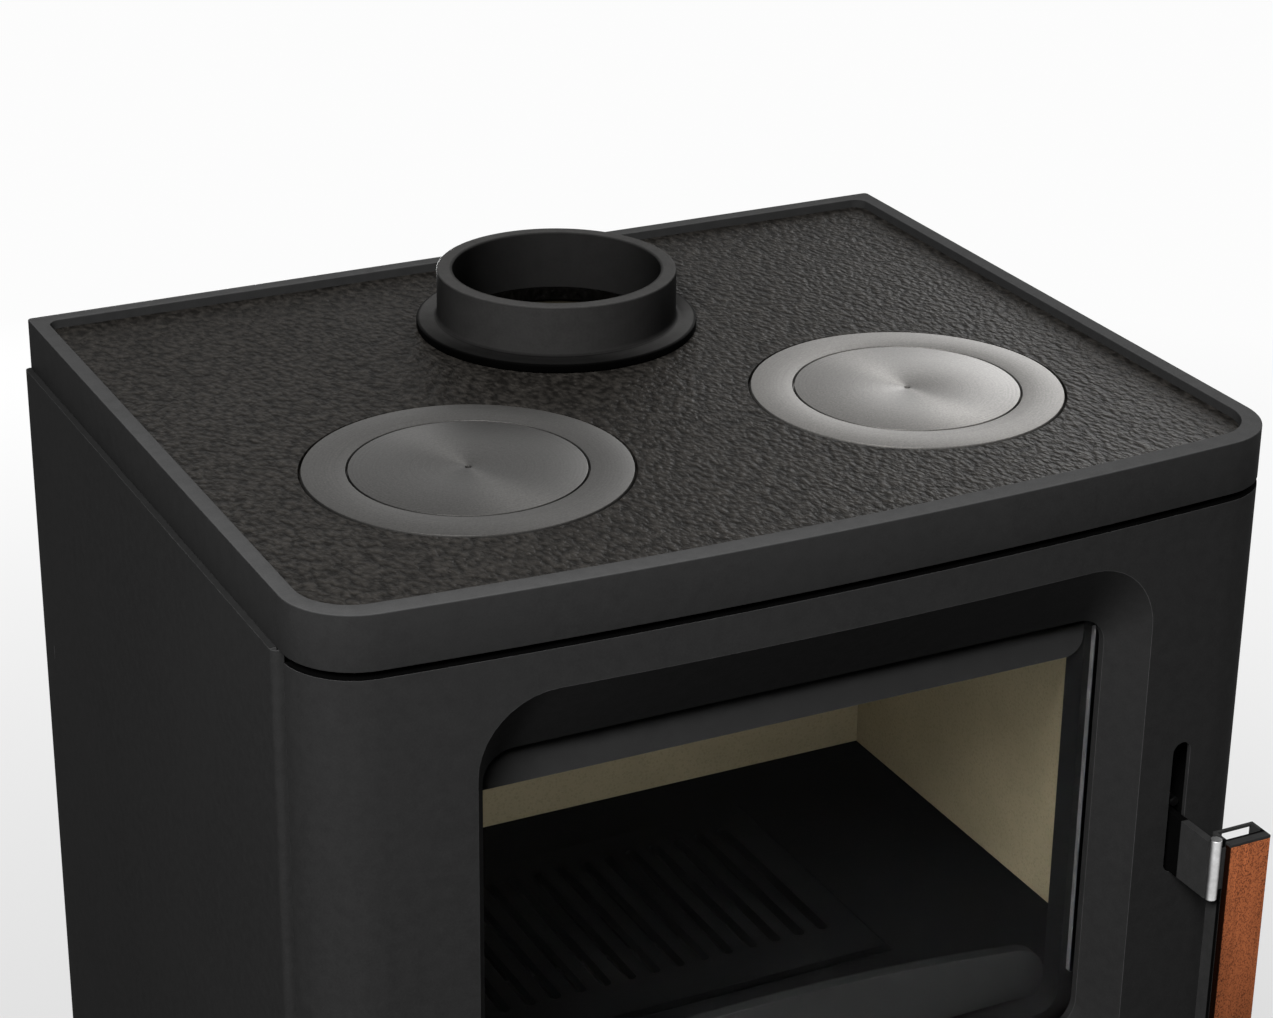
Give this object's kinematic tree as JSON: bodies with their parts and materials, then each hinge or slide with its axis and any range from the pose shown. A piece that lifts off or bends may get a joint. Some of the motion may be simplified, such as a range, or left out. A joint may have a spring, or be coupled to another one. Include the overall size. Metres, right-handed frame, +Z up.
{
  "type": "wood-burning cooking stove",
  "caption": "Bow-fronted wood-burning cooking stove with a glazed fire door, a recessed cast hob with two round hotplates, a top flue collar, an ash drawer and a log drawer.",
  "frame": {"origin": "middle of the plinth's underside, where the stove stands on the floor", "axes": "+X to the right as seen from the front, -Y out of the bowed front, +Z up"},
  "size_m": [0.612, 0.5294, 0.882],
  "materials": {
    "casing": "satin",
    "hob_iron": "satin",
    "hotplate_iron": "satin",
    "firebox_iron": "matte",
    "board": "matte",
    "plain_steel": "satin",
    "chrome": "gloss",
    "glass": "gloss",
    "seal": "matte",
    "handle_wood": "satin"
  },
  "bodies": {
    "carcass": {"plinth": "casing", "carcass_left": "casing", "carcass_right": "casing", "carcass_back": "casing", "carcass_bottom": "casing", "front_frame": "casing", "middle_shelf": "casing", "ash_chamber": "casing", "firebox_base": "casing", "side_panel_left": "casing", "side_panel_right": "casing", "rear_panel": "casing", "rear_stays": "casing", "side_spacers": "casing", "hob_frame": "casing", "hob_casting": "hob_iron", "flue_collar": "hob_iron", "collar_bolts": "plain_steel", "floor_casting": "firebox_iron", "lining_left": "board", "lining_right": "board", "lining_back": "board", "baffle_board": "board", "baffle_ledges": "casing", "latch_keeper": "casing", "keeper_pin": "plain_steel", "hinge_brackets": "casing", "log_rails": "casing"},
    "grate": {"grate_tile": "firebox_iron"},
    "guard": {"log_guard": "firebox_iron"},
    "roller": {"keeper_roller": "plain_steel"},
    "plate_ring_left": {"ring_left": "hotplate_iron"},
    "plate_ring_right": {"ring_right": "hotplate_iron"},
    "plate_disc_left": {"disc_left": "hotplate_iron"},
    "plate_disc_right": {"disc_right": "hotplate_iron"},
    "fire_door": {"door_casting": "casing", "door_frame": "casing", "door_rope": "seal", "window_glass": "glass", "glass_gasket": "seal", "glass_bar_left": "plain_steel", "glass_bar_right": "plain_steel", "glass_bar_top": "plain_steel", "glass_bar_bottom": "plain_steel", "frame_bolts": "plain_steel", "lever_bracket": "casing", "lever_pin": "plain_steel"},
    "door_lever": {"lever_plate": "casing", "lever_barrel": "chrome", "handle_channel": "casing", "handle_inlay": "handle_wood"},
    "ash_drawer": {"ash_front": "casing", "ash_liner": "casing", "ash_tray": "casing"},
    "ash_bin": {"ash_pan": "plain_steel"},
    "air_control": {"air_shutter": "plain_steel"},
    "log_drawer": {"log_front": "casing", "log_box": "casing"}
  },
  "joints": [
    {"name": "door_hinge", "type": "hinge", "parent": "carcass", "child": "fire_door", "pos_m": [-0.2935, -0.1857, 0.603], "axis": [0, 0, -1], "range_deg": [0, 88]},
    {"name": "lever_pivot", "type": "hinge", "parent": "fire_door", "child": "door_lever", "pos_m": [0.2435, -0.205, 0.594], "axis": [-1, 0, 0], "range_deg": [0, 35]},
    {"name": "ash_drawer_slide", "type": "slide", "parent": "carcass", "child": "ash_drawer", "axis": [0, -1, 0], "range_m": [0, 0.3]},
    {"name": "ash_pan_lift", "type": "slide", "parent": "ash_drawer", "child": "ash_bin", "axis": [0, 0, 1], "range_m": [0, 0.06]},
    {"name": "air_slide", "type": "slide", "parent": "ash_drawer", "child": "air_control", "axis": [1, 0, 0], "range_m": [0, 0.012]},
    {"name": "log_drawer_slide", "type": "slide", "parent": "carcass", "child": "log_drawer", "axis": [0, -1, 0], "range_m": [0, 0.33]},
    {"name": "ring_left_lift", "type": "slide", "parent": "carcass", "child": "plate_ring_left", "axis": [0, 0, 1], "range_m": [0, 0.06]},
    {"name": "ring_right_lift", "type": "slide", "parent": "carcass", "child": "plate_ring_right", "axis": [0, 0, 1], "range_m": [0, 0.06]},
    {"name": "disc_left_lift", "type": "slide", "parent": "plate_ring_left", "child": "plate_disc_left", "axis": [0, 0, 1], "range_m": [0, 0.06]},
    {"name": "disc_right_lift", "type": "slide", "parent": "plate_ring_right", "child": "plate_disc_right", "axis": [0, 0, 1], "range_m": [0, 0.06]},
    {"name": "grate_lift", "type": "slide", "parent": "carcass", "child": "grate", "axis": [0, 0, 1], "range_m": [0, 0.06]},
    {"name": "guard_lift", "type": "slide", "parent": "carcass", "child": "guard", "axis": [0, 0, 1], "range_m": [0, 0.08]},
    {"name": "roller_spin", "type": "hinge", "parent": "carcass", "child": "roller", "pos_m": [0.2435, -0.1695, 0.5928], "axis": [1, 0, 0], "continuous": true}
  ]
}
